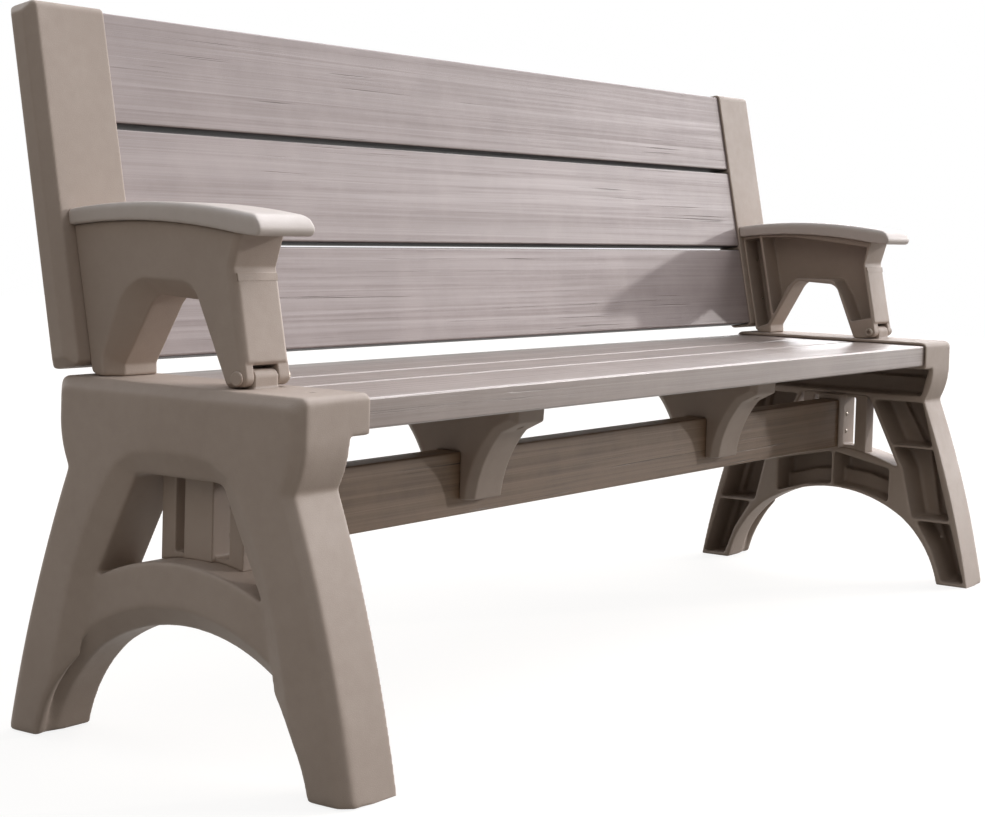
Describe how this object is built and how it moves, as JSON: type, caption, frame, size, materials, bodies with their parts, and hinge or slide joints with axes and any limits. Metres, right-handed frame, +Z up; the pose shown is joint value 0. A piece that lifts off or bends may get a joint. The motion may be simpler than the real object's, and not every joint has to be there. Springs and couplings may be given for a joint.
{
  "type": "convertible picnic table bench",
  "caption": "Garden bench with a plank seat and a reclined plank back that hinges forward on its armrests to lie level as a table top.",
  "frame": {"origin": "on the floor, under the middle of the whole bench's extents", "axes": "+X along the bench to a sitter's left hand, +Y from the seat's front edge to the back, +Z up"},
  "size_m": [1.854, 0.5588, 0.8849],
  "materials": {
    "plank": "satin wood-grain plastic lumber",
    "stretcher": "satin wood-grain plastic lumber",
    "moulding": "fine matte moulded plastic",
    "pad": "fine matte moulded plastic",
    "metal": "zinc-plated"
  },
  "bodies": {
    "base": {"seat_plank_front": "plank", "seat_plank_middle": "plank", "seat_plank_rear": "plank", "stretcher_board": "stretcher", "left_leg_frame": "moulding", "right_leg_frame": "moulding", "left_stretcher_post": "moulding", "right_stretcher_post": "moulding", "left_center_bracket": "moulding", "right_center_bracket": "moulding", "left_hinge_pin": "metal", "right_hinge_pin": "metal", "left_pin_retainer": "metal", "right_pin_retainer": "metal", "seat_screws": "metal", "post_screws": "metal", "bracket_screws": "metal"},
    "back": {"back_plank_bottom": "plank", "back_plank_middle": "plank", "back_plank_top": "plank", "left_back_cap": "moulding", "right_back_cap": "moulding", "left_armrest_frame": "moulding", "right_armrest_frame": "moulding", "left_arm_pad": "pad", "right_arm_pad": "pad", "cap_bolts": "metal"}
  },
  "joints": [
    {"name": "back_hinge", "type": "hinge", "parent": "base", "child": "back", "pos_m": [0, -0.08317, 0.4503], "axis": [1, 0, 0], "range_deg": [0, 101.3]}
  ]
}
